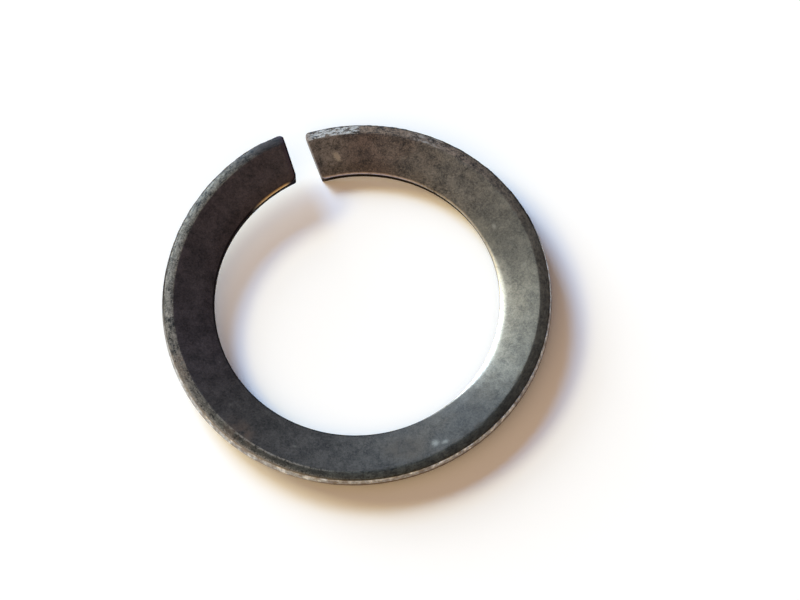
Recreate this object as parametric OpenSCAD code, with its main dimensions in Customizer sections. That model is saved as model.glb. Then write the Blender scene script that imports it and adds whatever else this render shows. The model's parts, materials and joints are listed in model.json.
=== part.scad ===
// Split lock ring: a flat steel band closed into a ring with one slot, formed into a
// shallow cone and sprung so that its two ends stand at different heights.
// The bore axis is Z and the slot faces +Y. The ring lies as it rests on z = 0, on the
// lower corner of its low end and on the arc opposite, so the height of the band
// follows a helix tipped onto those two places.

/* [Ring] */
// Largest diameter, at the lower outer edge
outer_d = 40; // [38:0.5:44]
// Diameter of the bore, at the cylindrical land on its wall
bore_d = 29.3; // [28:0.1:31]
// Thickness of the band
band_t = 1.3; // [0.9:0.05:1.8]
// Angle of the cone that lifts the outer edge above the inner one
cone_deg = 14.5; // [6:0.5:18]

/* [Spring set] */
// Climb of the band over one full turn, clockwise seen from above
rise = 2; // [0.4:0.1:3.5]
// Width of the slot between the two ends, halfway from the bore to the rim
slot_w = 2.5; // [1:0.1:4]
// Lean of each end towards the other, so that the slot narrows outwards
end_lean = 1.5; // [0:0.25:3]

/* [Edges] */
// Width of the chamfer round the upper outer edge, along the face
chamfer_w = 1; // [0.4:0.05:1.6]
// Drop of that chamfer below the face
chamfer_drop = 0.4; // [0.1:0.01:0.5]
// Radius of the rolled upper inner edge
bore_edge_r = 0.35; // [0.15:0.05:0.5]
// Radius that eases the other edges of the band
ease_r = 0.1; // [0.04:0.02:0.16]
// Depth to which the bore and the rim are sized to true cylinders
land_depth = 0.05; // [0.03:0.01:0.12]

/* [Ends] */
// Corner radius at the rim on the low end
low_rim_r = 0.4; // [0.1:0.05:0.8]
// Corner radius at the rim on the high end
high_rim_r = 0.2; // [0.1:0.05:0.8]
// Corner radius at the bore on both ends
bore_corner_r = 0.15; // [0.05:0.05:0.4]
// How far the rim draws in at the high end
taper = 0.33; // [0:0.01:0.5]
// Length of rim over which it draws in
taper_len = 4; // [2:0.5:8]

/* [Hidden] */

outer_r = outer_d / 2;
bore_r = bore_d / 2;
// Circles and cylinders
$fn = 180;
// Angle between neighbouring sections of the band
step = 2.5;
// Segments in the arc of the rolled edge and in each eased edge
roll_parts = 5;
ease_parts = 2;
// Half width of the soft turn from the face into the chamfer
turn_half = 0.12;
// Room past the solid for the tools that cut it
clear = 1;

// How much farther out than a sharp corner an edge of radius 1 stays, once leaned back
reach = cos(cone_deg) + sin(cone_deg) - 1;
// Radius of the sharp upper inner corner, before the bore is sized
corner_r = bore_r - land_depth - bore_edge_r * reach;
// Radius of the sharp lower outer corner, before the rim is sized
brim_r = outer_r + land_depth + ease_r * reach;
// Width of the band along its face
band_w = (brim_r - band_t * sin(cone_deg) - corner_r) / cos(cone_deg);
chamfer_slope = atan(chamfer_drop / chamfer_w);
// Angle travelled from the middle of the slot to the lower corner of the low end
foot_r = corner_r + band_t * sin(cone_deg);
end_deg = asin(half_slot(foot_r) / foot_r);
// Sections start and stop inside the slot, which then cuts the ends straight
first_deg = asin(slot_w / 2 / outer_r) - step / 2;
turns = ceil((360 - 2 * first_deg) / step);

// Half the width of the slot at a distance out from the axis
function half_slot(y) = slot_w / 2 - (y - (bore_r + outer_r) / 2) * tan(end_lean);

function arc(x, y, r, from, to, parts) =
    [for (i = [0 : parts]) let (a = from + (to - from) * i / parts) [x + r * cos(a), y + r * sin(a)]];

// Outline of the band for a face of width w: [along the face, above the face]
function outline(w) = concat(
    arc(bore_edge_r, -bore_edge_r, bore_edge_r, 180, 90, roll_parts),
    [[w - chamfer_w - turn_half, 0],
     [w - chamfer_w, -turn_half * tan(chamfer_slope) / 4],
     [w - chamfer_w + turn_half, -turn_half * tan(chamfer_slope)]],
    arc(w - ease_r, -chamfer_drop - ease_r, ease_r, 90 - chamfer_slope, 0, ease_parts),
    arc(w - ease_r, -band_t + ease_r, ease_r, 0, -90, ease_parts),
    arc(ease_r, -band_t + ease_r, ease_r, -90, -180, ease_parts)
);

// The outline leans back by the cone angle: [radius, height above the lower inner corner]
function lean(p) = [
    corner_r + p[0] * cos(cone_deg) - p[1] * sin(cone_deg),
    band_t * cos(cone_deg) + p[0] * sin(cone_deg) + p[1] * cos(cone_deg)
];

// Height of the band at angle a past the low end, for a helix tipped to rest there
// and, level, half a turn on
function lift(a) = rise * (a / 360 - 1 / 4 + cos(a) / 4 + sin(a) / (2 * PI));

// How far the rim has drawn in at angle a past the middle of the slot
function draw_in(a) =
    let (left = (360 - a) * outer_r * PI / 180 - slot_w / 2)
    taper * pow(max(0, 1 - max(0, left) / taper_len), 2);

// The section at angle a past the middle of the slot, clockwise seen from above
function section(a) = [
    for (p = outline(band_w - draw_in(a)))
    let (q = lean(p)) [q[0] * sin(a), q[0] * cos(a), q[1] + lift(a - end_deg)]
];

lowest = min([for (p = outline(band_w)) lean(p)[1]]);

module swept_band() {
    count = len(outline(band_w));
    points = [for (i = [0 : turns]) each section(first_deg + (360 - 2 * first_deg) * i / turns)];
    sides = [
        for (i = [0 : turns - 1], j = [0 : count - 1])
        let (a = i * count + j, b = i * count + (j + 1) % count)
        each [[a, b, b + count], [a, b + count, a + count]]
    ];
    first_cap = [for (j = [count - 1 : -1 : 0]) j];
    last_cap = [for (j = [0 : count - 1]) turns * count + j];
    translate([0, 0, -lowest])
        polyhedron(points, concat([first_cap], sides, [last_cap]));
}

// What rounds one corner of an end: seat_r is the circle it meets, outside or inside.
// It is drawn beside an upright end and then leans with it.
module corner_cut(r, seat_r, outside) {
    away = outside ? -1 : 1;
    face_x = half_slot(0) * cos(end_lean);
    x = face_x + r;
    y = sqrt(pow(seat_r + away * r, 2) - x * x);
    rotate(end_lean)
        difference() {
            translate([face_x - clear, outside ? y : y - r - clear])
                square([r + clear, r + clear]);
            translate([x, y])
                circle(r);
        }
}

module slot() {
    far_y = outer_r + clear;
    polygon([
        [-half_slot(0), 0], [half_slot(0), 0],
        [half_slot(far_y), far_y], [-half_slot(far_y), far_y]
    ]);
}

module plan() {
    difference() {
        circle(outer_r);
        circle(bore_r);
        slot();
        corner_cut(low_rim_r, outer_r, true);
        corner_cut(bore_corner_r, bore_r, false);
        mirror([1, 0])
            corner_cut(high_rim_r, outer_r, true);
        mirror([1, 0])
            corner_cut(bore_corner_r, bore_r, false);
    }
}

module lock_ring() {
    height = rise + band_w * sin(cone_deg) + 2 * band_t;
    color("dimgray")
        intersection() {
            swept_band();
            translate([0, 0, -clear])
                linear_extrude(height + 2 * clear)
                    plan();
        }
}

lock_ring();
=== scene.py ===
"""Looks of the split lock ring: a blackened spring steel band lying on white paper.

The ring is one fine mesh, swept by the same formulas as the CAD solid, with the small
dents, rag and wear that the solid leaves out. Lengths are in millimetres until a mesh
or a lamp is made. Angles along the band are degrees, clockwise from the middle of the
slot as seen from above, so the band runs from its low end to its high end.
"""

import json
import math

import bpy
import numpy as np
from mathutils import Matrix, Vector


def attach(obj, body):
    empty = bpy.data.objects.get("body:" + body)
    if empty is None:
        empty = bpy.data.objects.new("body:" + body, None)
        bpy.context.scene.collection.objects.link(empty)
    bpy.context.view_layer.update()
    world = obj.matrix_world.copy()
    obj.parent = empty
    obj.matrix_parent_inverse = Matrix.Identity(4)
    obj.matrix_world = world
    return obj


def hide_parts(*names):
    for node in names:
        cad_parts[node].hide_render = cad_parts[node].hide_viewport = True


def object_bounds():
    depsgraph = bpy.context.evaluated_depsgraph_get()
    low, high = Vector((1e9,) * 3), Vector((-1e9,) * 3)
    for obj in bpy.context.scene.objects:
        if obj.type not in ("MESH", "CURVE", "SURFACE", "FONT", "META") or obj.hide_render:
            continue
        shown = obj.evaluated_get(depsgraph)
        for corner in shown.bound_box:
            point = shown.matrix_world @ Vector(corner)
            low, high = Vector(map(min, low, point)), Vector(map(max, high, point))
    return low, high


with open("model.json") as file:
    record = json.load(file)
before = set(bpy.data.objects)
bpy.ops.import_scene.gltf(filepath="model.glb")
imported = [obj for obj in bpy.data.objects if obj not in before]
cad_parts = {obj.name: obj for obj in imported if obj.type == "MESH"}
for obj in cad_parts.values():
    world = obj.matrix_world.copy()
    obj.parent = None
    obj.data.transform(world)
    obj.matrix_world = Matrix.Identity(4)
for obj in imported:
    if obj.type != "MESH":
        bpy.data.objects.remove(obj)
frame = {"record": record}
cad_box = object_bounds()

MM = 0.001

# ---------------------------------------------------------------- sizes from the frame
bore_mount = next(m for m in frame["record"]["mounts"] if m["name"] == "bore")
BORE_R = bore_mount["dims"]["r_mm"]
OUTER_R = -cad_box[0].x / MM

# ---------------------------------------------------------------- the band, as in the CAD
THICKNESS = 1.3
CONE = math.radians(14.5)
# Climb of the band over one full turn
RISE = 2.0
# Width of the slot, and the lean of each end towards the other
SLOT = 2.5
END_LEAN = math.radians(1.5)
CHAMFER_WIDTH = 1.0
CHAMFER_DROP = 0.4
# Radius of the rolled upper inner edge, and of the three other edges
ROLL_R = 0.35
EASE_R = 0.1
# Depth to which the bore and the rim are sized to true cylinders
LAND_DEPTH = 0.05

# How much farther out than a sharp corner an edge of radius 1 stays, once leaned back
REACH = math.cos(CONE) + math.sin(CONE) - 1
# Radii of the sharp upper inner corner and the sharp lower outer corner
CORNER_R = BORE_R - LAND_DEPTH - ROLL_R * REACH
BRIM_R = OUTER_R + LAND_DEPTH + EASE_R * REACH
# Width of the band along its face
WIDTH = (BRIM_R - THICKNESS * math.sin(CONE) - CORNER_R) / math.cos(CONE)

# ---------------------------------------------------------------- what wear has changed
# The face bows down by CROWN from CROWN_START towards the rolled edge
CROWN = 0.07
CROWN_START = 1.7
# How far the worn corners of the ends are drawn back, at the rim and at the bore
LOW_RIM_ROUND = 0.62
HIGH_RIM_ROUND = 0.5
LOW_BORE_ROUND = 0.36
HIGH_BORE_ROUND = 0.55
# How far the rim draws in towards the high end, and over what length
TAPER = 0.31
TAPER_LENGTH = 4.5
# Swells along the band: degree of the middle, half length in degrees, height.
# The chamfer is wider towards the high end and narrower on the near side
WIDTH_SWELLS = ((335, 70, 0.1), (205, 75, -0.12))
# The chamfer starts crisp at 0 and rolls over softly towards 1
CRISP = 0.1
SOFT_SWELLS = ((325, 95, 0.5), (185, 60, 0.25))
# The inner edge is least rolled on the near left, where its radius is smaller by this much
SHARP_SWELLS = ((218, 65, 1.0),)
SHARPER_BY = 0.2

# Noises of the worn surface: seed, waves a millimetre along the band and across it, layers
RAG = (3, 3.2, 2.6, 3)
BEADS = (4, 1.7, 1.4, 2)
WAVES = (5, 0.35, 0.4, 2)
DENTS = (6, 1.3, 1.3, 2)
NICKS = (7, 1.1, 0.9, 2)
# How much metal the rim and the face have lost, and how high the lip on the rim stands
RIM_LOSS = 0.04
FACE_LOSS = 0.01
LIP_HEIGHT = 0.02
# How far each noise moves the surface
RAG_HEIGHT = 0.02
BEAD_HEIGHT = 0.04
WAVE_HEIGHT = 0.006
DENT_HEIGHT = 0.003
NICK_DEPTH = 0.06
# Only the strongest of the noise cuts a nick
NICK_START = 0.25

# ---------------------------------------------------------------- the mesh
# Sections along the band
COLUMNS = 1180
# Points of a section on each of its parts
BORE_ROWS = 8
ROLL_ROWS = 11
FACE_ROWS = 14
CHAMFER_ROWS = 14
BRIM_ROWS = 6
RIM_ROWS = 11
UNDER_ROWS = 10
EASE_ROWS = 4
# Degree at which the arc of the rolled edge stops, just short of the level face
ROLL_STOP = 94
# Half the width of the soft turn from the face into the chamfer, as a share of the chamfer
TURN = 0.12
# Points on each drawn-back corner of an end
CORNER_POINTS = 24
# Radius that eases the cut edges of both ends, and the columns that round it
END_EASE = 0.07
END_STEPS = 5
# How far the outermost column steps in further, which starts the flat of the end
CAP_INSET = 0.02
# Columns over which the wear fades out towards an end, where small roundings would fold
FADE_COLUMNS = 12

# ---------------------------------------------------------------- the camera
CAMERA_ELEVATION = math.radians(66.6)
CAMERA_AZIMUTH = math.radians(-102.65)
CAMERA_ROLL = math.radians(7.644)
CAMERA_DISTANCE = 268.6
FOCAL_PIXELS = 2600
PICTURE_WIDTH = 800
PICTURE_HEIGHT = 600
# Where the middle of the ring's foot lies in the picture
CENTRE_PIXEL = (357.77, 306.47)
SENSOR_WIDTH = 36
# Nearest and farthest distance that the camera sees, in metres
CLIP = (0.01, 20)

# ---------------------------------------------------------------- lamps, room and paper
# Metres from the ring to each lamp
LAMP_DISTANCE = 3.0
# Lamps: azimuth, elevation, width and height in degrees, and the light (red, green, blue)
# that each brings to a white floor
LAMPS = {
    "cool_window": (108, 30, 24, 16, (0.15, 0.29, 0.49)),
    "warm_window": (125, 27.5, 26, 8, (0.31, 0.26, 0.11)),
    "low_window": (116, 13, 46, 17, (0.22, 0.255, 0.29)),
}
# The room beyond the ring, and its warm side: colour, azimuth and elevation, and the
# cosines of the angle away from there between which it grows to its full strength
ROOM_COLOR = (0.12, 0.10, 0.14)
WARM_COLOR = (1.05, 0.71, 0.36)
WARM_TOWARDS = (-135, 20)
WARM_EDGE = (0.25, 0.85)
# Half the side of the floor, in metres
FLOOR_REACH = 4.0
PAPER_COLOR = (0.99, 0.99, 0.99, 1)
# What lifts the paper to white where it is looked at
PAPER_GLOW = (1.0, 0.8, 0.6, 1)
PAPER_GLOW_STRENGTH = 0.04


# ================================================================ noise and ramps


class Field:
    """Smooth noise over a plane, between -1 and 1, the same on every run."""

    SIZE = 256
    # How far each finer copy is shifted off the last
    SHIFT_X, SHIFT_Y = 17, -31

    def __init__(self, seed):
        self.table = np.random.default_rng(seed).uniform(-1, 1, (self.SIZE, self.SIZE))

    def at(self, x, y):
        x, y = np.broadcast_arrays(x, y)
        left, low = np.floor(x).astype(int), np.floor(y).astype(int)
        u, v = x - left, y - low
        u, v = u * u * (3 - 2 * u), v * v * (3 - 2 * v)

        def corner(dx, dy):
            return self.table[(left + dx) % self.SIZE, (low + dy) % self.SIZE]

        bottom = corner(0, 0) * (1 - u) + corner(1, 0) * u
        top = corner(0, 1) * (1 - u) + corner(1, 1) * u
        return bottom * (1 - v) + top * v

    def layers(self, x, y, count):
        """The noise with finer and weaker copies on top, each half as large and as strong."""
        total = 0
        for k in range(count):
            fine_x, fine_y = x * 2**k + self.SHIFT_X * k, y * 2**k + self.SHIFT_Y * k
            total = total + self.at(fine_x, fine_y) / 2**k
        return total / (2 - 0.5 ** (count - 1))


def smooth(low, high, x):
    t = np.clip((x - low) / (high - low), 0, 1)
    return t * t * (3 - 2 * t)


def hill(x, centre, half):
    """1 at the centre, falling smoothly to 0 at a half width away."""
    return 1 - smooth(0, half, np.abs(x - centre))


def swell(angle, base, hills):
    """A value that rises or sinks from its base at some places along the band."""
    value = base
    for centre, half, height in hills:
        value = value + height * hill(angle, centre, half)
    return value


# ================================================================ the band's shape


def half_slot(y):
    """Half the width of the slot at a distance out from the axis."""
    return SLOT / 2 - (y - (BORE_R + OUTER_R) / 2) * math.tan(END_LEAN)


FOOT_R = CORNER_R + THICKNESS * math.sin(CONE)
# Angle from the middle of the slot to the lower corner of the low end
END_DEG = math.degrees(math.asin(half_slot(FOOT_R) / FOOT_R))


def lift(angle):
    """Height of the band past the low end, for a helix tipped to rest there and opposite."""
    turn = np.radians(angle)
    return RISE * (angle / 360 - 1 / 4 + np.cos(turn) / 4 + np.sin(turn) / (2 * math.pi))


def draw_in(angle):
    """How far the rim has drawn in towards the high end."""
    left = (360 - angle) * OUTER_R * math.pi / 180 - SLOT / 2
    return TAPER * np.maximum(0, 1 - np.maximum(0, left) / TAPER_LENGTH) ** 2


def arc(x, y, r, start, stop, count):
    turn = np.radians(np.linspace(start, stop, count))
    return x + r * np.cos(turn), y + r * np.sin(turn)


def section(angle):
    """The closed outline of the band at an angle: places along the face, places above it
    and shares of the chamfer's width, from the foot of the bore wall over the face."""
    width = WIDTH - draw_in(angle)
    bevel = swell(angle, CHAMFER_WIDTH, WIDTH_SWELLS)
    soft = swell(angle, CRISP, SOFT_SWELLS)
    sharp = swell(angle, 0, SHARP_SWELLS)
    roll, crown = ROLL_R - SHARPER_BY * sharp, CROWN * (1 - sharp)
    slope = math.degrees(math.atan(CHAMFER_DROP / bevel))
    share = np.linspace(-TURN, 1 - EASE_R / bevel, CHAMFER_ROWS + 1)[1:]
    eased = np.where(share < TURN, (share + TURN) ** 2 / (4 * TURN), share)
    drop = CHAMFER_DROP * (eased * (1 - soft) + np.clip(share, 0, 1) ** 2 * soft)
    bore_wall = np.linspace(EASE_R - THICKNESS, -crown - roll, BORE_ROWS + 1)[:-1]
    face = np.linspace(roll, width - bevel * (1 + TURN), FACE_ROWS + 1)[1:]
    rim_wall = np.linspace(-CHAMFER_DROP - EASE_R, EASE_R - THICKNESS, RIM_ROWS + 2)[1:-1]
    under = np.linspace(width - EASE_R, EASE_R, UNDER_ROWS + 2)[1:-1]
    parts = [
        (0 * bore_wall, bore_wall),
        arc(roll, -crown - roll, roll, 180, ROLL_STOP, ROLL_ROWS),
        (face, -crown * np.clip((CROWN_START - face) / (CROWN_START - roll), 0, 1) ** 2),
        (width - bevel + share * bevel, -drop),
        arc(width - EASE_R, -CHAMFER_DROP - EASE_R, EASE_R, 90 - slope, 0, BRIM_ROWS),
        (width + 0 * rim_wall, rim_wall),
        arc(width - EASE_R, EASE_R - THICKNESS, EASE_R, 0, -90, EASE_ROWS),
        (under, 0 * under - THICKNESS),
        arc(EASE_R, EASE_R - THICKNESS, EASE_R, -90, -180, EASE_ROWS),
    ]
    # the last point falls on the first one
    s, n = (np.concatenate([part[k] for part in parts])[:-1] for k in (0, 1))
    return s, n, (s - width + bevel) / bevel


def normals(s, n):
    """Unit normals of the closed outlines, pointing out of the metal."""
    ds = np.roll(s, -1, 1) - np.roll(s, 1, 1)
    dn = np.roll(n, -1, 1) - np.roll(n, 1, 1)
    size = np.hypot(ds, dn)
    return -dn / size, ds / size


def end_edge(rim_radius, rim_round, bore_round):
    """How far an end face stands from the middle of the slot: radii, and places there."""
    near_x = half_slot(0) * math.cos(END_LEAN)

    def corner(radius, round_by, away):
        depth = np.linspace(0, round_by, CORNER_POINTS)
        xs = near_x + (round_by - depth) ** 2 / round_by
        ys = np.sqrt((radius + away * depth) ** 2 - xs**2)
        return radius + away * depth, xs * math.cos(END_LEAN) - ys * math.sin(END_LEAN)

    bore, rim = corner(BORE_R, bore_round, 1), corner(rim_radius, rim_round, -1)
    radii, places = np.concatenate([bore, rim], 1)
    order = np.argsort(radii)
    return radii[order], places[order]


def wear(noise, along, aside):
    """One of the noises of the worn surface, at places along the band and across it."""
    seed, along_scale, aside_scale, count = noise
    return Field(seed).layers(along * along_scale, aside * aside_scale, count)


def roughen(along, s, n, bevel):
    """Millimetres by which the worn surface departs from its plain form."""
    # masks: the rim's wall above its foot, the upper part of that wall, and the face with
    # the chamfer
    rim = smooth(0.93, 0.985, bevel) * smooth(0.02, 0.15, n + THICKNESS)
    lip = rim * hill(n, -CHAMFER_DROP - 0.2, 0.22)
    face = smooth(0.2, 0.5, s) * smooth(-0.6, -0.3, n)
    # nicks are cut into both edges of the chamfer, the outer one most
    edge = hill(bevel, 0.97, 0.25) + 0.7 * hill(bevel, 0, 0.2)
    nicks = np.maximum(0, wear(NICKS, along, s) - NICK_START)
    rag, beads = wear(RAG, along, n), wear(BEADS, along, n)
    waves, dents = wear(WAVES, along, s), wear(DENTS, along, s)
    wall = rim * (RAG_HEIGHT * rag - RIM_LOSS) + lip * (BEAD_HEIGHT * beads + LIP_HEIGHT)
    bumps = WAVE_HEIGHT * waves + DENT_HEIGHT * dents
    return wall + face * (bumps - FACE_LOSS - NICK_DEPTH * nicks * edge)


def ring_points():
    """Points of the mesh [column, place round the section], their distance from the axis,
    and what each point knows of its place on the band."""
    share = np.linspace(0, 1, COLUMNS)[:, None]
    sections = [section(END_DEG + k[0] * (360 - 2 * END_DEG)) for k in share]
    s, n, bevel = (np.array([one[k] for one in sections]) for k in (0, 1, 2))
    normal_s, normal_n = normals(s, n)
    # the first and last columns step in round a quarter circle, so that the cut edges
    # are eased, and the outermost one steps in further
    from_end = np.minimum(np.arange(COLUMNS), np.arange(COLUMNS)[::-1])
    easing = np.clip((END_STEPS + 1 - from_end) / END_STEPS, 0, 1) * math.pi / 2
    inset = END_EASE * (1 - np.cos(easing)) + np.where(from_end == 0, CAP_INSET, 0)
    length = share * math.radians(360) * (OUTER_R + BORE_R) / 2
    fade = smooth(0, FADE_COLUMNS, from_end)[:, None]
    out = roughen(length, s, n, bevel) * fade - inset[:, None]
    place_s, place_n = s + normal_s * out, n + normal_n * out
    # the section leans back by the cone, and the bore and the rim are sized
    radius = CORNER_R + place_s * math.cos(CONE) - place_n * math.sin(CONE)
    radius = np.clip(radius, BORE_R, OUTER_R)
    height = place_s * math.sin(CONE) + place_n * math.cos(CONE)
    # the columns spread evenly between the two end faces
    low_r, low_x = end_edge(OUTER_R, LOW_RIM_ROUND, LOW_BORE_ROUND)
    high_r, high_x = end_edge(OUTER_R - TAPER, HIGH_RIM_ROUND, HIGH_BORE_ROUND)
    first = np.degrees(np.arcsin(np.interp(radius, low_r, low_x) / radius))
    last = 360 - np.degrees(np.arcsin(np.interp(radius, high_r, high_x) / radius))
    angle = first + share * (last - first)
    for k in range(END_STEPS + 2):
        step = END_EASE * (1 - math.sin(easing[k]))
        angle[k] = first[k] + np.degrees(step / radius[k])
        angle[-1 - k] = last[-1 - k] - np.degrees(step / radius[-1 - k])
    height = height + lift(angle - END_DEG)
    height -= height.min()
    turn = np.radians(angle)
    points = np.stack([radius * np.sin(turn), radius * np.cos(turn), height], -1)
    low_gap = np.radians(angle - first) * radius
    high_gap = np.radians(last - angle) * radius
    # degrees along the band, millimetres along and above the face, the share of the
    # chamfer's width from its inner edge, and millimetres to the nearer end
    known = {
        "along": angle,
        "across": s,
        "above": n,
        "bevel": bevel,
        "from_end": np.minimum(low_gap, high_gap),
    }
    return points, radius, known


def zipper(upper, lower, radius):
    """Triangles that close the strip between two chains of points, both running outwards."""
    faces = []
    i = j = 0
    while i < len(upper) - 1 or j < len(lower) - 1:
        up = i < len(upper) - 1 and (
            j == len(lower) - 1 or radius[upper[i + 1]] <= radius[lower[j + 1]]
        )
        if up:
            faces.append((upper[i], lower[j], upper[i + 1]))
            i += 1
        else:
            faces.append((upper[i], lower[j], lower[j + 1]))
            j += 1
    return faces


def end_faces(column, radius):
    """Closes an end: one chain of its points runs over the face, and the other below it,
    from the middle of the bore wall to the middle of the rim wall."""
    rows = len(radius)
    bore_middle = BORE_ROWS // 2
    rim_middle = rows - (RIM_ROWS // 2 + EASE_ROWS + UNDER_ROWS + EASE_ROWS)
    upper = list(range(bore_middle, rim_middle + 1))
    lower = [k % rows for k in range(bore_middle + rows, rim_middle - 1, -1)]
    faces = zipper(upper, lower, radius)
    # the chains share their end points, where a face that names one twice has no area
    return [[column[k] for k in face] for face in faces if len(set(face)) == 3]


def make_ring():
    points, radius, known = ring_points()
    columns, rows = radius.shape
    index = np.arange(columns * rows).reshape(columns, rows)
    beside = np.roll(index, -1, 1)
    quads = np.stack([index[:-1], index[1:], beside[1:], beside[:-1]], -1).reshape(-1, 4)
    faces = quads.tolist()
    faces += [face[::-1] for face in end_faces(index[0].tolist(), radius[0])]
    faces += end_faces(index[-1].tolist(), radius[-1])
    mesh = bpy.data.meshes.new("lock_ring_band")
    mesh.from_pydata((points.reshape(-1, 3) * MM).tolist(), [], faces)
    for name, values in known.items():
        layer = mesh.attributes.new(name, "FLOAT", "POINT")
        layer.data.foreach_set("value", np.ascontiguousarray(values, np.float32).ravel())
    mesh.shade_smooth()
    ring = bpy.data.objects.new("lock_ring_band", mesh)
    bpy.context.scene.collection.objects.link(ring)
    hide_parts("lock_ring")
    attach(ring, "root")
    return ring


# ================================================================ materials


class Graph:
    """The node tree of a material or world, with short words for what is used most."""

    def __init__(self, owner):
        owner.use_nodes = True
        self.tree = owner.node_tree
        self.tree.nodes.clear()

    def node(self, kind, **values):
        made = self.tree.nodes.new(kind)
        for key, value in values.items():
            setattr(made, key, value)
        return made

    def put(self, socket, value):
        if isinstance(value, bpy.types.NodeSocket):
            self.tree.links.new(value, socket)
        else:
            socket.default_value = value

    def attribute(self, name):
        return self.node("ShaderNodeAttribute", attribute_name=name).outputs["Fac"]

    def math(self, operation, *inputs, clamp=False):
        made = self.node("ShaderNodeMath", operation=operation, use_clamp=clamp)
        for socket, value in zip(made.inputs, inputs):
            self.put(socket, value)
        return made.outputs[0]

    def chain(self, operation, values):
        result = values[0]
        for value in values[1:]:
            result = self.math(operation, result, value)
        return result

    def product(self, *values):
        return self.chain("MULTIPLY", values)

    def total(self, *values):
        return self.chain("ADD", values)

    def most(self, *values):
        return self.chain("MAXIMUM", values)

    def scaled(self, vector, scale):
        made = self.node("ShaderNodeVectorMath", operation="SCALE")
        self.put(made.inputs[0], vector)
        self.put(made.inputs["Scale"], scale)
        return made.outputs[0]

    def noise(self, place, scale, detail, roughness, seed, distortion=0.0):
        made = self.node("ShaderNodeTexNoise", noise_dimensions="4D")
        self.put(made.inputs["Vector"], place)
        self.put(made.inputs["W"], seed)
        self.put(made.inputs["Scale"], scale)
        self.put(made.inputs["Detail"], detail)
        self.put(made.inputs["Roughness"], roughness)
        self.put(made.inputs["Distortion"], distortion)
        return made.outputs["Fac"]

    def step(self, value, low, high, start=0.0, stop=1.0):
        """A smooth step from start, at low, to stop, at high."""
        made = self.node("ShaderNodeMapRange", interpolation_type="SMOOTHSTEP")
        for socket, number in zip(made.inputs, (value, low, high, start, stop)):
            self.put(socket, number)
        return made.outputs[0]

    def window(self, value, rise, fall):
        """1 between two smooth steps, each given as its place at 0 and its place at 1."""
        return self.product(self.step(value, *rise), self.step(value, *fall))

    def spread(self, noise, amount, half=0.16):
        """A noise about 0.5, made steeper, as a number between -amount and amount."""
        return self.step(noise, 0.5 - half, 0.5 + half, -amount, amount)

    def hill(self, value, centre, half):
        """1 at the centre, falling smoothly to 0 at a half width away."""
        away = self.math("ABSOLUTE", self.math("SUBTRACT", value, centre))
        return self.step(away, 0.0, half, 1.0, 0.0)

    def mix(self, share, first, second):
        """A colour between two others."""
        made = self.node("ShaderNodeMix", data_type="RGBA")
        self.put(made.inputs[0], share)
        self.put(made.inputs[6], (*first, 1) if isinstance(first, tuple) else first)
        self.put(made.inputs[7], (*second, 1) if isinstance(second, tuple) else second)
        return made.outputs[2]

    def lay(self, color, mask, tone, cover):
        """A colour with a tone laid over it, where the mask is, to the given cover."""
        return self.mix(self.product(mask, cover), color, tone)

    def blend(self, share, first, second):
        """A number between two others."""
        made = self.node("ShaderNodeMix", data_type="FLOAT")
        self.put(made.inputs[0], share)
        self.put(made.inputs[2], first)
        self.put(made.inputs[3], second)
        return made.outputs[0]

    def tones(self, where, stops):
        """A colour that passes from tone to tone along the band."""
        color = stops[0][1]
        for (begin, _), (end, tone) in zip(stops, stops[1:]):
            color = self.mix(self.step(where, begin, end), color, tone)
        return color


# Tones of the oxide on the face and on the chamfer, from the low end round to the high
# one: the degree along the band where each has taken over, and its colour
FACE_TONES = (
    (6, (0.12, 0.098, 0.082)),
    (22, (0.086, 0.059, 0.047)),
    (52, (0.092, 0.078, 0.063)),
    (88, (0.092, 0.083, 0.065)),
    (114, (0.163, 0.149, 0.116)),
    (130, (0.155, 0.143, 0.113)),
    (156, (0.051, 0.045, 0.037)),
    (235, (0.046, 0.041, 0.037)),
    (275, (0.043, 0.035, 0.038)),
    (345, (0.045, 0.033, 0.034)),
)
CHAMFER_TONES = (
    (22, (0.128, 0.088, 0.060)),
    (45, (0.116, 0.085, 0.063)),
    (95, (0.084, 0.072, 0.056)),
    (130, (0.074, 0.069, 0.055)),
    (155, (0.045, 0.047, 0.041)),
    (205, (0.046, 0.050, 0.046)),
    (235, (0.072, 0.070, 0.060)),
    (275, (0.105, 0.094, 0.081)),
    (332, (0.118, 0.110, 0.091)),
    (343, (0.062, 0.055, 0.048)),
    (350, (0.024, 0.019, 0.018)),
)

# Marks: the colour of each, and how much of the metal it covers where it is strongest
BROWN = ((0.075, 0.055, 0.036), 0.6)
RUST = ((0.115, 0.075, 0.052), 0.6)
CHALK = ((0.43, 0.42, 0.39), 0.9)
GREY_PATCH = ((0.27, 0.26, 0.24), 0.75)
TAN_DUST = ((0.33, 0.265, 0.20), 0.8)
LOW_END_PALE = ((0.20, 0.16, 0.14), 0.5)
HIGH_END_PURPLE = ((0.034, 0.016, 0.032), 0.6)
# Colours of the spots, the worn edges, the rim, the rolled edge, the bore and the high end
PALE_SPOT = (0.22, 0.21, 0.18)
WORN_EDGE = (0.31, 0.285, 0.255)
RIM_BLACK = (0.012, 0.009, 0.009)
RIM_BROWN = (0.15, 0.105, 0.075)
BARE_STEEL = (0.55, 0.57, 0.57)
# painted glints on the brightest beads of the rim's lip
PAINTED_GLINT_STEEL = (0.9, 0.9, 0.88)
ROLL_BLACK = (0.012, 0.009, 0.011)
COOL_POLISH = (0.46, 0.42, 0.48)
WARM_POLISH = (0.50, 0.46, 0.39)
# a painted reflection of something warm, on the rolled edge at the high end
PAINTED_REFLECTION_GOLD = (0.75, 0.52, 0.26)
BORE_BLACK = (0.018, 0.013, 0.011)
HIGH_END_BLACK = (0.014, 0.008, 0.014)
# How much the crumbs of dust cover, and the wear on the chamfer's inner and outer part
CRUMB_COVER = 0.5
INNER_WEAR_COVER = 0.7
OUTER_WEAR_COVER = 0.65
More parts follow.
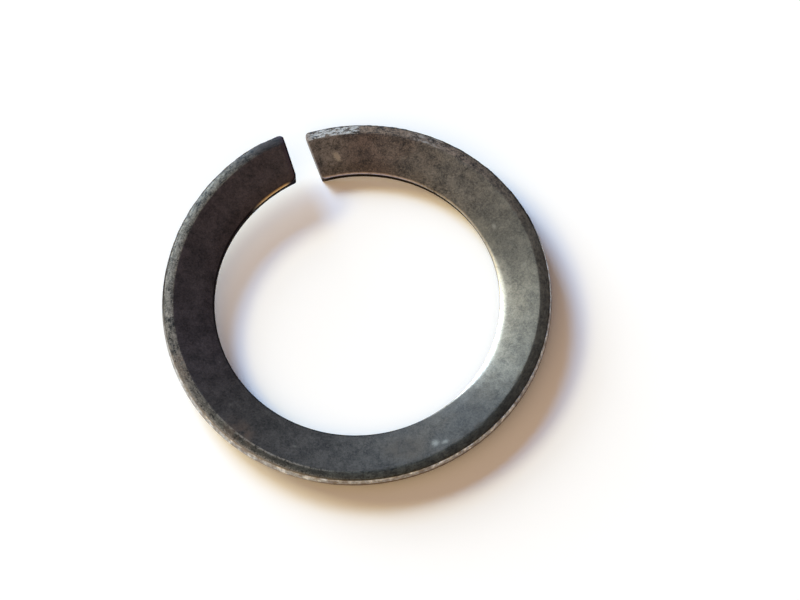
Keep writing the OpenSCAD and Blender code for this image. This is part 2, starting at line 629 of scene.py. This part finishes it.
# How strongly the noises lighten and darken the oxide
MOTTLE_STRENGTH = 0.85
# How strong the painted sheen is, a painted highlight that widens the polish of the rolled edge over the
# face on the right
WIDE_PAINTED_SHEEN = 0.2

# Degrees by which the borders between the tones of the face wander
WANDER = 8.0
# Scale of the streaks along the band, along the face and above it
STREAK_SCALE = (0.35, 3.0, 3.0)
# Where marks lie along the band: degree of the middle, half length in degrees
# the first of these places painted shade, darker towards the outer part of the face on the right
SHADE_AT = (134, 66)
SOOT_AT = (26, 34)
DULL_CHAMFER_AT = (228, 34)
BROWN_AT = (183, 11)
RUST_AT = (238, 8)
CHAMFER_RUST_AT = (267, 8)
GREY_PATCH_AT = (42, 9)
SMEAR_AT = (15.0, 2.2)
CRUMBS_AT = (30, 22)
WORN_INNER_AT = (226, 30)
FRAYED_AT = (236, 46)
FLECKS_AT = (290, 50)
THREAD_GAPS_AT = (53, 8)
# Stretches of the band: the degrees at which each has not begun and is full, and those
# at which it has ended and is still full
CHALK_AT = ((3.0, 6.5), (21.0, 19.5))
BARE_RIM_AT = ((84.0, 98.0), (294.0, 262.0))
# the next stretch holds a painted highlight on the rolled edge, and the one after it a painted golden
# reflection
PAINTED_SHEEN_AT = ((78.0, 112.0), (164.0, 136.0))
PAINTED_REFLECTION_AT = ((331.0, 339.0), (353.0, 349.0))
# The ends of the band: the degrees at which each has not begun and is full
LOW_END = (20.0, 10.0)
HIGH_END = (340.0, 345.0)
# Height of the lower border of the bare lip on the rim, on the right. On the left the lip
# reaches down to the foot of the rim
LIP_FOOT = -CHAMFER_DROP - 0.68
# Pale spots: degree along the band, millimetres across it, half length, half width,
# how much of the metal is covered
SPOTS = (
    (80.8, 1.8, 0.4, 0.28, 0.6),
    (170.4, 3.75, 0.5, 0.3, 0.55),
    (173.3, 3.35, 0.5, 0.48, 0.7),
    (221.0, 2.7, 0.3, 0.2, 0.28),
    (248.0, 2.7, 0.25, 0.2, 0.2),
    (264.0, 1.0, 0.15, 0.12, 0.25),
    (36.5, 2.2, 0.4, 0.3, 0.18),
    (98.5, 3.2, 0.25, 0.25, 0.25),
    (124.0, 2.0, 0.3, 0.3, 0.2),
)

# Roughness of the oxide, between two values, of bare or polished steel and of the bore wall
OXIDE_ROUGHNESS = (0.52, 0.6)
BARE_ROUGHNESS = 0.38
WALL_ROUGHNESS = 0.95
# How metallic the oxide is
OXIDE_METALLIC = 0.5
# The fine bumps that are only in the shading
RELIEF_STRENGTH = 0.3
RELIEF_DEPTH = 0.02


class Steel(Graph):
    """Blackened steel: the places and noises on the band, and a method for each group of
    marks, which takes the colour below and returns it with the marks on top."""

    def __init__(self, material):
        super().__init__(material)
        self.place = self.scaled(self.node("ShaderNodeTexCoord").outputs["Object"], 1 / MM)
        self.along = self.attribute("along")
        self.across = self.attribute("across")
        self.above = self.attribute("above")
        self.bevel = self.attribute("bevel")
        self.from_end = self.attribute("from_end")
        self.cloud = self.noise(self.place, scale=0.4, detail=3, roughness=0.5, seed=1)
        self.blotch = self.noise(self.place, scale=0.8, detail=3, roughness=0.6, seed=4)
        self.beads = self.noise(self.place, scale=1.4, detail=3, roughness=0.65, seed=5)
        self.mottle = self.noise(self.place, scale=2.4, detail=3, roughness=0.65, seed=2, distortion=1.5)
        self.grain = self.noise(self.place, scale=7, detail=3, roughness=0.65, seed=3)
        self.streaks = self.noise(self.unrolled(), scale=1.6, detail=4, roughness=0.65, seed=7)
        # degrees along the band that wander, so that tones have no straight border
        aside = self.math("MULTIPLY_ADD", self.cloud, 2 * WANDER, -WANDER)
        self.where = self.total(self.along, aside)
        # masks of the chamfer and of the rim's wall, and of the bore's side and its wall
        self.chamfer = self.product(
            self.step(self.bevel, -0.06, 0.05),
            self.step(self.above, -CHAMFER_DROP - 0.1, -CHAMFER_DROP - 0.02),
        )
        self.rim = self.product(
            self.step(self.bevel, 0.94, 0.985),
            self.step(self.above, -CHAMFER_DROP + 0.06, -CHAMFER_DROP - 0.04),
        )
        self.near_bore = self.step(self.across, 0.3, 0.1)
        self.wall = self.product(self.near_bore, self.step(self.above, -CROWN - 0.14, -CROWN - 0.26))
        # the far side of the band, on both sides of the slot
        self.behind = self.most(self.step(self.along, 98.0, 84.0), self.step(self.along, 266.0, 294.0))

    def unrolled(self):
        """A place on the band laid out straight, in which noise runs along it in streaks."""
        made = self.node("ShaderNodeCombineXYZ")
        places = (self.along, self.across, self.above)
        for socket, place, scale in zip(made.inputs, places, STREAK_SCALE):
            self.put(socket, self.product(place, scale))
        return made.outputs[0]

    def oxide(self):
        """The tones of the oxide, mottled more where it is dusty, and darker places on it: painted shade
        over the outer part of the face on the right, soot, and a dull stretch of the chamfer.
        """
        face, bevelled = self.tones(self.where, FACE_TONES), self.tones(self.along, CHAMFER_TONES)
        color = self.mix(self.chamfer, face, bevelled)
        dusty = self.most(
            self.total(
                self.step(self.where, 95.0, 40.0, 0.55, 1.0),
                self.step(self.where, 155.0, 180.0, 0.0, 0.2),
            ),
            self.product(self.chamfer, self.step(self.along, 205.0, 245.0, 0.5, 1.0)),
        )
        coarse = self.product(self.chamfer, self.step(self.along, 75.0, 35.0, 0.0, 0.7))
        light = self.total(
            self.spread(self.mottle, 0.5),
            self.product(self.spread(self.grain, 0.34), self.total(coarse, 1.0)),
            self.spread(self.blotch, 0.42),
            self.product(self.chamfer, self.spread(self.streaks, 0.6, half=0.15)),
        )
        tint = self.math("MULTIPLY_ADD", self.product(light, dusty), MOTTLE_STRENGTH, 1.0)
        dull_and_shade = self.total(
            # painted shade, darker towards the outer part of the face on the right
            self.product(self.hill(self.along, *SHADE_AT), self.step(self.across, 1.6, 4.2, 0.02, 0.34)),
            self.product(self.hill(self.along, *SOOT_AT), self.step(self.across, 2.6, 0.8, 0.0, 0.26)),
            self.product(
                self.hill(self.bevel, 0.38, 0.34),
                self.hill(self.along, *DULL_CHAMFER_AT),
                self.step(self.streaks, 0.3, 0.6, 0.15, 0.45),
            ),
        )
        return self.scaled(color, self.product(tint, self.math("SUBTRACT", 1.0, dull_and_shade)))

    def stains(self, color):
        """A brown place on the face, and rust over the chamfer."""
        brown = self.product(
            self.step(self.blotch, 0.3, 0.6, 0.4, 1.0),
            self.hill(self.along, *BROWN_AT),
            self.hill(self.across, 2.4, 2.4),
        )
        color = self.lay(color, brown, *BROWN)
        over_edge = self.product(
            self.hill(self.where, *RUST_AT),
            self.step(self.across, 2.6, 3.6),
            self.step(self.blotch, 0.35, 0.6),
        )
        on_chamfer = self.product(
            self.hill(self.along, *CHAMFER_RUST_AT),
            self.chamfer,
            self.step(self.mottle, 0.35, 0.6),
        )
        return self.lay(color, self.most(over_edge, on_chamfer), *RUST)

    def deposits(self, color):
        """Chalky streaks and a grey patch on the chamfer, and tan dust on the face, all
        towards the low end."""
        flaky = self.step(self.math("MULTIPLY_ADD", self.grain, 0.5, self.streaks), 0.66, 0.84)
        chalk = self.product(flaky, self.chamfer, self.window(self.along, *CHALK_AT))
        color = self.lay(color, chalk, *CHALK)
        patch = self.product(
            self.step(self.streaks, 0.45, 0.65), self.chamfer, self.hill(self.along, *GREY_PATCH_AT)
        )
        color = self.lay(color, patch, *GREY_PATCH)
        slanting = self.math("MULTIPLY_ADD", self.across, 1.2, self.along)
        smear = self.product(self.hill(slanting, *SMEAR_AT), self.hill(self.across, 2.1, 1.1))
        smear = self.step(self.math("MULTIPLY_ADD", self.grain, 1.2, smear), 0.85, 1.4)
        crumbs = self.product(
            self.step(self.grain, 0.58, 0.68),
            self.hill(self.along, *CRUMBS_AT),
            self.step(self.bevel, 0.0, -0.2),
        )
        return self.lay(color, self.most(smear, self.product(crumbs, CRUMB_COVER)), *TAN_DUST)

    def spots(self, color):
        """Pale spots with ragged borders."""
        for degree, middle, half_length, half_width, cover in SPOTS:
            length = math.radians(1) * (CORNER_R + middle)
            u = self.product(self.math("SUBTRACT", self.along, degree), length / half_length)
            v = self.product(self.math("SUBTRACT", self.across, middle), 1 / half_width)
            away = self.math("SQRT", self.total(self.product(u, u), self.product(v, v)))
            ragged = self.math("MULTIPLY_ADD", self.grain, 1.6, self.math("SUBTRACT", away, 0.8))
            color = self.mix(self.step(ragged, 1.15, 0.1, 0.0, cover), color, PALE_SPOT)
        return color

    def worn_chamfer(self, color):
        """Pale wear on the chamfer: along its inner edge on the left, on its outer part on
        the near left, and in flecks further on."""
        inner = self.product(
            self.hill(self.bevel, 0.1, 0.16),
            self.hill(self.along, *WORN_INNER_AT),
            self.step(self.mottle, 0.35, 0.55),
        )
        outwards = self.math("SUBTRACT", self.bevel, 0.55)
        frayed = self.step(self.math("MULTIPLY_ADD", self.grain, 1.1, outwards), 0.62, 0.86)
        frayed = self.product(frayed, self.chamfer, self.hill(self.along, *FRAYED_AT))
        flecks = self.product(
            self.step(self.grain, 0.56, 0.66), self.chamfer, self.hill(self.along, *FLECKS_AT)
        )
        inner = self.product(inner, INNER_WEAR_COVER)
        outer = self.product(self.most(frayed, flecks), OUTER_WEAR_COVER)
        return self.mix(self.most(inner, outer), color, WORN_EDGE)

    def rim_marks(self, color):
        """The rim: a sheared lip of bare steel along its top on the near side, with painted glints on
        its brightest beads, brown below, and black on the far side, also on the brink above it. Also
        returns where it is bare and where it is black."""
        foot = self.blend(self.step(self.along, 195.0, 225.0), LIP_FOOT, -THICKNESS)
        lip = self.product(self.rim, self.step(self.math("SUBTRACT", self.above, foot), 0.0, 0.14))
        bare = self.product(
            lip,
            self.window(self.along, *BARE_RIM_AT),
            self.step(self.beads, 0.36, 0.58, 0.3, 1.0),
            self.step(self.along, 180.0, 205.0, 1.0, 0.75),
        )
        brink = self.product(
            self.behind,
            self.step(self.bevel, 0.83, 0.91),
            self.step(self.mottle, 0.25, 0.45, 0.5, 1.0),
        )
        color = self.mix(brink, color, RIM_BLACK)
        color = self.mix(self.rim, color, self.mix(self.behind, RIM_BROWN, RIM_BLACK))
        # the brightest beads are painted glints
        metal = self.mix(self.step(self.beads, 0.54, 0.64), BARE_STEEL, PAINTED_GLINT_STEEL)
        black = self.most(brink, self.product(self.rim, self.behind))
        return self.mix(bare, color, metal), bare, black

    def inner_edge(self, color):
        """The rolled inner edge: black on the left, but burnished bright on the right, where a painted
        highlight widens it over the face, and with a painted golden reflection at the high end. Also
        returns where it is polished."""
        # on the right the polish is wider and fades slowly over the face, as a painted highlight
        painted_sheen = self.window(self.along, *PAINTED_SHEEN_AT)
        narrow = self.step(self.math("DIVIDE", self.across, self.blend(painted_sheen, 0.32, 1.0)), 1.0, 0.3)
        wide_painted_sheen = self.product(painted_sheen, self.step(self.across, 1.8, 0.55))
        roll = self.math("MULTIPLY_ADD", wide_painted_sheen, WIDE_PAINTED_SHEEN, narrow, clamp=True)
        roll = self.product(roll, self.step(self.above, -CROWN - 0.32, -CROWN - 0.16))
        black = self.product(self.step(self.across, 0.34, 0.2), self.step(self.along, 165.0, 200.0))
        color = self.mix(black, color, ROLL_BLACK)
        # a painted golden reflection on the rolled edge at the high end
        painted_reflection = self.window(self.along, *PAINTED_REFLECTION_AT)
        gaps = self.product(
            self.hill(self.along, *THREAD_GAPS_AT), self.step(self.streaks, 0.46, 0.54, 0.0, 0.8)
        )
        thread = self.product(
            self.step(self.along, 176.0, 152.0),
            self.step(self.mottle, 0.25, 0.6, 0.5, 1.0),
            self.math("SUBTRACT", 1.0, gaps),
        )
        polish = self.product(roll, self.most(painted_reflection, thread))
        metal = self.mix(self.step(self.along, 32.0, 58.0), COOL_POLISH, WARM_POLISH)
        color = self.mix(polish, color, self.mix(painted_reflection, metal, PAINTED_REFLECTION_GOLD))
        return self.mix(self.wall, color, BORE_BLACK), polish

    def cut_edges(self, color):
        """The low end's cut edge is worn pale, and the high end's is purple and then black.
        Also returns where it is black."""
        pale = self.product(self.step(self.from_end, 0.16, 0.05), self.step(self.along, *LOW_END))
        color = self.lay(color, pale, *LOW_END_PALE)
        high = self.step(self.along, *HIGH_END)
        purple = self.product(self.step(self.from_end, 0.7, 0.1), high)
        color = self.lay(color, purple, *HIGH_END_PURPLE)
        seam = self.product(self.step(self.from_end, 0.22, 0.1), high)
        return self.mix(seam, color, HIGH_END_BLACK), seam

    def relief(self):
        made = self.node("ShaderNodeBump")
        self.put(made.inputs["Strength"], RELIEF_STRENGTH)
        self.put(made.inputs["Distance"], RELIEF_DEPTH * MM)
        self.put(made.inputs["Height"], self.total(self.grain, self.mottle))
        return made.outputs[0]

    def finish(self, color, shiny, black):
        """Joins the colour to the shader: shiny places are bare metal, and black ones are
        metal too, so that they give no pale gloss."""
        oxide = self.blend(self.step(self.cloud, 0.35, 0.65), *OXIDE_ROUGHNESS)
        roughness = self.blend(self.wall, self.blend(shiny, oxide, BARE_ROUGHNESS), WALL_ROUGHNESS)
        metallic = self.blend(self.most(shiny, black), OXIDE_METALLIC, 1.0)
        shader = self.node("ShaderNodeBsdfPrincipled")
        self.put(shader.inputs["Base Color"], color)
        self.put(shader.inputs["Roughness"], roughness)
        self.put(shader.inputs["Metallic"], metallic)
        self.put(shader.inputs["Normal"], self.relief())
        output = self.node("ShaderNodeOutputMaterial")
        self.put(output.inputs["Surface"], shader.outputs[0])


def steel_material():
    material = bpy.data.materials.new("blackened_steel")
    steel = Steel(material)
    color = steel.oxide()
    for marks in (steel.stains, steel.deposits, steel.spots, steel.worn_chamfer):
        color = marks(color)
    color, bare, black_rim = steel.rim_marks(color)
    color, polish = steel.inner_edge(color)
    color, seam = steel.cut_edges(color)
    black = steel.most(steel.near_bore, black_rim, seam)
    steel.finish(color, steel.most(bare, polish), black)
    return material


def paper_material():
    """White paper, which camera and mirror rays see a little brighter, so that it is white."""
    paper = bpy.data.materials.new("paper")
    g = Graph(paper)
    rays = g.node("ShaderNodeLightPath").outputs
    seen = g.most(rays["Is Camera Ray"], rays["Is Glossy Ray"], rays["Is Transmission Ray"])
    diffuse = g.node("ShaderNodeBsdfDiffuse")
    g.put(diffuse.inputs["Color"], PAPER_COLOR)
    painted_sheen = g.node("ShaderNodeEmission")
    g.put(painted_sheen.inputs["Color"], PAPER_GLOW)
    g.put(painted_sheen.inputs["Strength"], g.product(seen, PAPER_GLOW_STRENGTH))
    both = g.node("ShaderNodeAddShader")
    g.put(both.inputs[0], diffuse.outputs[0])
    g.put(both.inputs[1], painted_sheen.outputs[0])
    output = g.node("ShaderNodeOutputMaterial")
    g.put(output.inputs["Surface"], both.outputs[0])
    return paper


# ================================================================ floor, lamps, camera


def make_floor():
    mesh = bpy.data.meshes.new("floor")
    signs = ((-1, -1), (1, -1), (1, 1), (-1, 1))
    corners = [(x * FLOOR_REACH, y * FLOOR_REACH, 0) for x, y in signs]
    mesh.from_pydata(corners, [], [(0, 1, 2, 3)])
    floor = bpy.data.objects.new("floor", mesh)
    floor.data.materials.append(paper_material())
    bpy.context.scene.collection.objects.link(floor)


def direction(azimuth, elevation):
    """The unit vector towards a place, both angles in radians."""
    level = math.cos(elevation)
    return Vector((math.cos(azimuth) * level, math.sin(azimuth) * level, math.sin(elevation)))


def soft_lamp(name, azimuth, elevation, width, height, floor_light):
    """A flat lamp, seen under the given angles in degrees, that brings floor_light
    (red, green, blue) to a white floor."""
    azimuth, elevation, width, height = map(math.radians, (azimuth, elevation, width, height))
    lamp = bpy.data.lights.new(name, "AREA")
    lamp.shape = "RECTANGLE"
    lamp.size = 2 * LAMP_DISTANCE * math.tan(width / 2)
    lamp.size_y = 2 * LAMP_DISTANCE * math.tan(height / 2)
    peak = max(floor_light)
    lamp.color = [c / peak for c in floor_light]
    lamp.energy = peak * (math.pi * LAMP_DISTANCE) ** 2 / math.sin(elevation)
    obj = bpy.data.objects.new(name, lamp)
    towards = direction(azimuth, elevation)
    obj.location = towards * LAMP_DISTANCE
    obj.rotation_euler = towards.to_track_quat("Z", "Y").to_euler()
    bpy.context.scene.collection.objects.link(obj)


def room_light():
    """A dim warm room behind the camera and a dark one beyond the ring."""
    world = bpy.data.worlds.new("room")
    g = Graph(world)
    toward_warm = g.node("ShaderNodeVectorMath", operation="DOT_PRODUCT")
    g.put(toward_warm.inputs[0], g.node("ShaderNodeTexCoord").outputs["Generated"])
    g.put(toward_warm.inputs[1], direction(*map(math.radians, WARM_TOWARDS)))
    share = g.step(toward_warm.outputs["Value"], *WARM_EDGE)
    background = g.node("ShaderNodeBackground")
    g.put(background.inputs["Color"], g.mix(share, ROOM_COLOR, WARM_COLOR))
    output = g.node("ShaderNodeOutputWorld")
    g.put(output.inputs["Surface"], background.outputs[0])
    bpy.context.scene.world = world


def make_camera():
    """The camera looks at the middle of the ring's foot, turned aside by as much as that
    point lies away from the middle of the picture."""
    data = bpy.data.cameras.new("camera")
    data.sensor_width = SENSOR_WIDTH
    data.lens = FOCAL_PIXELS * SENSOR_WIDTH / PICTURE_WIDTH
    data.clip_start, data.clip_end = CLIP
    camera = bpy.data.objects.new("camera", data)
    towards = direction(CAMERA_AZIMUTH, CAMERA_ELEVATION)
    right = Vector((-math.sin(CAMERA_AZIMUTH), math.cos(CAMERA_AZIMUTH), 0))
    up = towards.cross(right)
    level = Matrix((right, up, -towards))
    u = (CENTRE_PIXEL[0] - PICTURE_WIDTH / 2) / FOCAL_PIXELS
    v = (PICTURE_HEIGHT / 2 - CENTRE_PIXEL[1]) / FOCAL_PIXELS
    aside = Vector((0, 0, 1)).rotation_difference(Vector((u, v, 1))).to_matrix()
    look = aside @ Matrix.Rotation(CAMERA_ROLL, 3, "Z") @ level
    turned = (Matrix.Diagonal((1, 1, -1)) @ look).transposed()
    camera.matrix_world = Matrix.Translation(towards * CAMERA_DISTANCE * MM) @ turned.to_4x4()
    bpy.context.scene.collection.objects.link(camera)
    bpy.context.scene.camera = camera


make_camera()
make_floor()
room_light()
for lamp_name, lamp_values in LAMPS.items():
    soft_lamp(lamp_name, *lamp_values)
ring = make_ring()
ring.data.materials.append(steel_material())
bpy.context.scene.view_settings.view_transform = "Standard"
